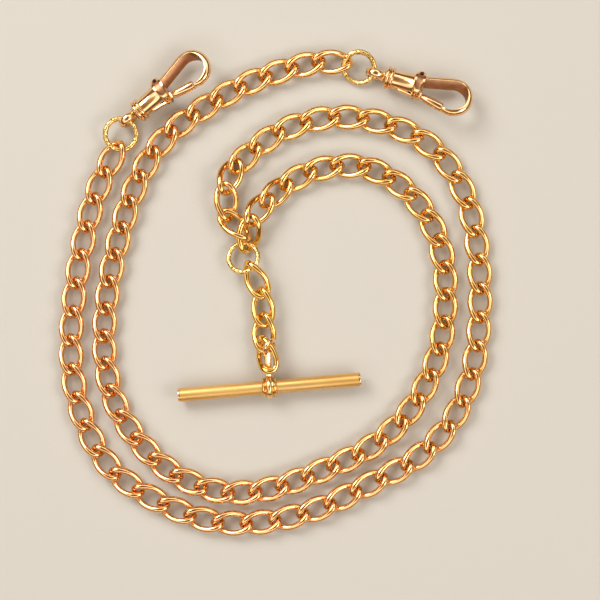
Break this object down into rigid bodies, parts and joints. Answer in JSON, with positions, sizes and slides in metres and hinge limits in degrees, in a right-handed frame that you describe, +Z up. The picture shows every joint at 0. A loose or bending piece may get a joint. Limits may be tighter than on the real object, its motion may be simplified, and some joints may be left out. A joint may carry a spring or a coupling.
{
  "type": "pocket watch chain",
  "caption": "Curb-link pocket watch chain laid in a loose spiral, with a swivelling dog clip on each strand and a short drop that carries a T-bar.",
  "frame": {"origin": "on the table, below the middle of the laid chain's outline", "axes": "+Z up from the table, +Y away from the T-bar towards the clips, +X to the right"},
  "size_m": [0.0762, 0.0852, 0.0053],
  "materials": {
    "strand_a_gold": "polished",
    "strand_b_gold": "polished",
    "drop_gold": "polished",
    "ring_gold": "polished",
    "bar_satin": "satin",
    "cap_polished": "polished",
    "collar_gold": "engraved and polished",
    "clip_gold": "polished",
    "spring_steel": "brushed"
  },
  "bodies": {
    "centre_link": {"centre_link": "drop_gold"},
    "junction_ring": {"junction_ring": "ring_gold"},
    "strand_a_01": {"strand_a_01": "strand_a_gold"},
    "strand_a_02": {"strand_a_02": "strand_a_gold"},
    "strand_a_03": {"strand_a_03": "strand_a_gold"},
    "strand_a_04": {"strand_a_04": "strand_a_gold"},
    "strand_a_05": {"strand_a_05": "strand_a_gold"},
    "strand_a_06": {"strand_a_06": "strand_a_gold"},
    "strand_a_07": {"strand_a_07": "strand_a_gold"},
    "strand_a_08": {"strand_a_08": "strand_a_gold"},
    "strand_a_09": {"strand_a_09": "strand_a_gold"},
    "strand_a_10": {"strand_a_10": "strand_a_gold"},
    "strand_a_11": {"strand_a_11": "strand_a_gold"},
    "strand_a_12": {"strand_a_12": "strand_a_gold"},
    "strand_a_13": {"strand_a_13": "strand_a_gold"},
    "strand_a_14": {"strand_a_14": "strand_a_gold"},
    "strand_a_15": {"strand_a_15": "strand_a_gold"},
    "clip_ring_a": {"clip_ring_a": "ring_gold"},
    "clip_swivel_a": {"clip_swivel_a": "clip_gold"},
    "clip_body_a": {"clip_body_a": "clip_gold", "clip_pin_a": "clip_gold", "clip_spring_a": "spring_steel"},
    "clip_gate_a": {"clip_gate_a": "clip_gold"},
    "strand_b_01": {"strand_b_01": "strand_b_gold"},
    "strand_b_02": {"strand_b_02": "strand_b_gold"},
    "strand_b_03": {"strand_b_03": "strand_b_gold"},
    "strand_b_04": {"strand_b_04": "strand_b_gold"},
    "strand_b_05": {"strand_b_05": "strand_b_gold"},
    "strand_b_06": {"strand_b_06": "strand_b_gold"},
    "strand_b_07": {"strand_b_07": "strand_b_gold"},
    "strand_b_08": {"strand_b_08": "strand_b_gold"},
    "strand_b_09": {"strand_b_09": "strand_b_gold"},
    "strand_b_10": {"strand_b_10": "strand_b_gold"},
    "strand_b_11": {"strand_b_11": "strand_b_gold"},
    "strand_b_12": {"strand_b_12": "strand_b_gold"},
    "strand_b_13": {"strand_b_13": "strand_b_gold"},
    "strand_b_14": {"strand_b_14": "strand_b_gold"},
    "strand_b_15": {"strand_b_15": "strand_b_gold"},
    "clip_ring_b": {"clip_ring_b": "ring_gold"},
    "clip_swivel_b": {"clip_swivel_b": "clip_gold"},
    "clip_body_b": {"clip_body_b": "clip_gold", "clip_pin_b": "clip_gold", "clip_spring_b": "spring_steel"},
    "clip_gate_b": {"clip_gate_b": "clip_gold"},
    "drop_link_1": {"drop_link_1": "drop_gold"},
    "drop_link_2": {"drop_link_2": "drop_gold"},
    "drop_link_3": {"drop_link_3": "drop_gold"},
    "drop_link_4": {"drop_link_4": "drop_gold"},
    "t_bar": {"t_bar": "bar_satin", "t_bar_cap_left": "cap_polished", "t_bar_cap_right": "cap_polished", "t_bar_collar": "collar_gold", "t_bar_eye": "collar_gold"}
  },
  "joints": [
    {"name": "strand_a_15_bend", "type": "hinge", "parent": "centre_link", "child": "strand_a_15", "pos_m": [-0.00641, 0.01015, 0.00231], "axis": [-0.1317, 0.991, 0.0234], "range_deg": [-3, 15]},
    {"name": "strand_a_14_bend", "type": "hinge", "parent": "strand_a_15", "child": "strand_a_14", "pos_m": [-0.00339, 0.02506, 0.00127], "axis": [0.6319, -0.7751, 0], "range_deg": [-12, 12]},
    {"name": "strand_a_13_bend", "type": "hinge", "parent": "strand_a_14", "child": "strand_a_13", "pos_m": [0.01022, 0.03039, 0.00127], "axis": [0.0552, -0.9985, 0], "range_deg": [-12, 12]},
    {"name": "strand_a_12_bend", "type": "hinge", "parent": "strand_a_13", "child": "strand_a_12", "pos_m": [0.02451, 0.02696, 0.00127], "axis": [-0.5023, -0.8647, 0], "range_deg": [-12, 12]},
    {"name": "strand_a_11_bend", "type": "hinge", "parent": "strand_a_12", "child": "strand_a_11", "pos_m": [0.03336, 0.0155, 0.00127], "axis": [-0.9493, -0.3143, 0], "range_deg": [-12, 12]},
    {"name": "strand_a_10_bend", "type": "hinge", "parent": "strand_a_11", "child": "strand_a_10", "pos_m": [0.03557, 0.00073, 0.00127], "axis": [0.9999, 0.0136, 0], "range_deg": [-12, 12]},
    {"name": "strand_a_09_bend", "type": "hinge", "parent": "strand_a_10", "child": "strand_a_09", "pos_m": [0.03404, -0.01414, 0.00127], "axis": [0.9671, -0.2545, 0], "range_deg": [-12, 12]},
    {"name": "strand_a_08_bend", "type": "hinge", "parent": "strand_a_09", "child": "strand_a_08", "pos_m": [0.0267, -0.02686, 0.00127], "axis": [-0.6788, 0.7344, 0], "range_deg": [-12, 12]},
    {"name": "strand_a_07_bend", "type": "hinge", "parent": "strand_a_08", "child": "strand_a_07", "pos_m": [0.01394, -0.03458, 0.00127], "axis": [0.454, -0.891, 0], "range_deg": [-12, 12]},
    {"name": "strand_a_06_bend", "type": "hinge", "parent": "strand_a_07", "child": "strand_a_06", "pos_m": [-0.00014, -0.03955, 0.00127], "axis": [0.1712, -0.9852, 0], "range_deg": [-12, 12]},
    {"name": "strand_a_05_bend", "type": "hinge", "parent": "strand_a_06", "child": "strand_a_05", "pos_m": [-0.01487, -0.0386, 0.00127], "axis": [0.3217, 0.9468, 0], "range_deg": [-12, 12]},
    {"name": "strand_a_04_bend", "type": "hinge", "parent": "strand_a_05", "child": "strand_a_04", "pos_m": [-0.02774, -0.03125, 0.00127], "axis": [0.7008, 0.7134, 0], "range_deg": [-12, 12]},
    {"name": "strand_a_03_bend", "type": "hinge", "parent": "strand_a_04", "child": "strand_a_03", "pos_m": [-0.03451, -0.0182, 0.00127], "axis": [0.9722, 0.2342, 0], "range_deg": [-12, 12]},
    {"name": "strand_a_02_bend", "type": "hinge", "parent": "strand_a_03", "child": "strand_a_02", "pos_m": [-0.03531, -0.0033, 0.00127], "axis": [-0.9957, 0.0923, 0], "range_deg": [-12, 12]},
    {"name": "strand_a_01_bend", "type": "hinge", "parent": "strand_a_02", "child": "strand_a_01", "pos_m": [-0.03286, 0.01151, 0.00127], "axis": [0.9727, -0.232, 0], "range_deg": [-12, 12]},
    {"name": "clip_ring_a_turn", "type": "hinge", "parent": "strand_a_01", "child": "clip_ring_a", "pos_m": [-0.02884, 0.02544, 0.00062], "axis": [-0.7036, -0.6379, 0.3132], "range_deg": [-10, 0]},
    {"name": "clip_swivel_a_tilt", "type": "hinge", "parent": "clip_ring_a", "child": "clip_swivel_a", "pos_m": [-0.02579, 0.03006, 0.00162], "axis": [-0.8752, 0.3769, 0.3033], "range_deg": [-25, 25]},
    {"name": "clip_a_swivel", "type": "hinge", "parent": "clip_swivel_a", "child": "clip_body_a", "pos_m": [-0.02357, 0.03165, 0.00203], "axis": [0.7837, 0.6123, 0.1045], "continuous": true},
    {"name": "clip_gate_a_open", "type": "hinge", "parent": "clip_body_a", "child": "clip_gate_a", "pos_m": [-0.01846, 0.03374, 0.00314], "axis": [-0.288, 0.209, 0.9345], "range_deg": [0, 30], "stiffness_Nm_per_rad": 0.002, "springref_deg": -11.46},
    {"name": "strand_b_15_bend", "type": "hinge", "parent": "centre_link", "child": "strand_b_15", "pos_m": [-0.00286, 0.01145, 0.00306], "axis": [0.0899, -0.7846, -0.6134], "range_deg": [-10, 3]},
    {"name": "strand_b_14_bend", "type": "hinge", "parent": "strand_b_15", "child": "strand_b_14", "pos_m": [0.01067, 0.02187, 0.00127], "axis": [0.0895, -0.996, 0], "range_deg": [-12, 12]},
    {"name": "strand_b_13_bend", "type": "hinge", "parent": "strand_b_14", "child": "strand_b_13", "pos_m": [0.02332, 0.01698, 0.00127], "axis": [-0.709, -0.7052, 0], "range_deg": [-12, 12]},
    {"name": "strand_b_12_bend", "type": "hinge", "parent": "strand_b_13", "child": "strand_b_12", "pos_m": [0.02926, 0.00439, 0.00127], "axis": [-0.9922, -0.1245, 0], "range_deg": [-12, 12]},
    {"name": "strand_b_11_bend", "type": "hinge", "parent": "strand_b_12", "child": "strand_b_11", "pos_m": [0.02839, -0.0098, 0.00127], "axis": [0.9689, -0.2475, 0], "range_deg": [-12, 12]},
    {"name": "strand_b_10_bend", "type": "hinge", "parent": "strand_b_11", "child": "strand_b_10", "pos_m": [0.02178, -0.02227, 0.00127], "axis": [-0.7364, 0.6766, 0], "range_deg": [-12, 12]},
    {"name": "strand_b_09_bend", "type": "hinge", "parent": "strand_b_10", "child": "strand_b_09", "pos_m": [0.01, -0.03011, 0.00127], "axis": [0.3949, -0.9187, 0], "range_deg": [-12, 12]},
    {"name": "strand_b_08_bend", "type": "hinge", "parent": "strand_b_09", "child": "strand_b_08", "pos_m": [-0.00358, -0.03448, 0.00127], "axis": [-0.1332, 0.9911, 0], "range_deg": [-12, 12]},
    {"name": "strand_b_07_bend", "type": "hinge", "parent": "strand_b_08", "child": "strand_b_07", "pos_m": [-0.01718, -0.03162, 0.00127], "axis": [-0.5137, -0.858, 0], "range_deg": [-12, 12]},
    {"name": "strand_b_06_bend", "type": "hinge", "parent": "strand_b_07", "child": "strand_b_06", "pos_m": [-0.02675, -0.02131, 0.00127], "axis": [0.8818, 0.4716, 0], "range_deg": [-12, 12]},
    {"name": "strand_b_05_bend", "type": "hinge", "parent": "strand_b_06", "child": "strand_b_05", "pos_m": [-0.02976, -0.00754, 0.00127], "axis": [-1, 0.0067, 0], "range_deg": [-12, 12]},
    {"name": "strand_b_04_bend", "type": "hinge", "parent": "strand_b_05", "child": "strand_b_04", "pos_m": [-0.02795, 0.00665, 0.00127], "axis": [-0.9746, 0.224, 0], "range_deg": [-12, 12]},
    {"name": "strand_b_03_bend", "type": "hinge", "parent": "strand_b_04", "child": "strand_b_03", "pos_m": [-0.02351, 0.02024, 0.00127], "axis": [0.9023, -0.431, 0], "range_deg": [-12, 12]},
    {"name": "strand_b_02_bend", "type": "hinge", "parent": "strand_b_03", "child": "strand_b_02", "pos_m": [-0.01432, 0.03088, 0.00127], "axis": [-0.5743, 0.8186, 0], "range_deg": [-12, 12]},
    {"name": "strand_b_01_bend", "type": "hinge", "parent": "strand_b_02", "child": "strand_b_01", "pos_m": [-0.00172, 0.03761, 0.00127], "axis": [-0.3468, 0.9379, 0], "range_deg": [-12, 12]},
    {"name": "clip_ring_b_turn", "type": "hinge", "parent": "strand_b_01", "child": "clip_ring_b", "pos_m": [0.01163, 0.03876, 0.00191], "axis": [0.9083, 0.2772, 0.3132], "range_deg": [-3, 25]},
    {"name": "clip_swivel_b_tilt", "type": "hinge", "parent": "clip_ring_b", "child": "clip_swivel_b", "pos_m": [0.01705, 0.03816, 0.00184], "axis": [0.3018, 0.8682, 0.394], "range_deg": [-25, 25]},
    {"name": "clip_b_swivel", "type": "hinge", "parent": "clip_swivel_b", "child": "clip_body_b", "pos_m": [0.01983, 0.0372, 0.00203], "axis": [0.9511, -0.2908, 0.1045], "continuous": true},
    {"name": "clip_gate_b_open", "type": "hinge", "parent": "clip_body_b", "child": "clip_gate_b", "pos_m": [0.02447, 0.03421, 0.00314], "axis": [0.0061, 0.3558, 0.9345], "range_deg": [0, 30], "stiffness_Nm_per_rad": 0.002, "springref_deg": -11.46},
    {"name": "junction_ring_turn", "type": "hinge", "parent": "centre_link", "child": "junction_ring", "pos_m": [-0.00373, 0.00847, 0.00072], "axis": [0.5157, 0.6722, 0.5312], "range_deg": [-25, 3]},
    {"name": "drop_link_1_turn", "type": "hinge", "parent": "junction_ring", "child": "drop_link_1", "pos_m": [-0.0052, 0.00359, 0.00238], "axis": [0.9766, 0.1884, 0.1034], "range_deg": [-12, 25]},
    {"name": "drop_link_2_turn", "type": "hinge", "parent": "drop_link_1", "child": "drop_link_2", "pos_m": [-0.00134, 0.00032, 0.00188], "axis": [0.3138, 0.9457, 0.085], "range_deg": [-25, 5]},
    {"name": "drop_link_3_turn", "type": "hinge", "parent": "drop_link_2", "child": "drop_link_3", "pos_m": [-0.00356, -0.00409, 0.00185], "axis": [0.2646, -0.9035, 0.337], "range_deg": [-5, 20]},
    {"name": "drop_link_4_turn", "type": "hinge", "parent": "drop_link_3", "child": "drop_link_4", "pos_m": [-0.00215, -0.01009, 0.00193], "axis": [0.8186, -0.2556, -0.5144], "range_deg": [-5, 25]},
    {"name": "t_bar_turn", "type": "hinge", "parent": "drop_link_4", "child": "t_bar", "pos_m": [-0.00107, -0.00895, 0.00336], "axis": [-0.6705, 0.6994, -0.2476], "range_deg": [-15, 0]}
  ]
}
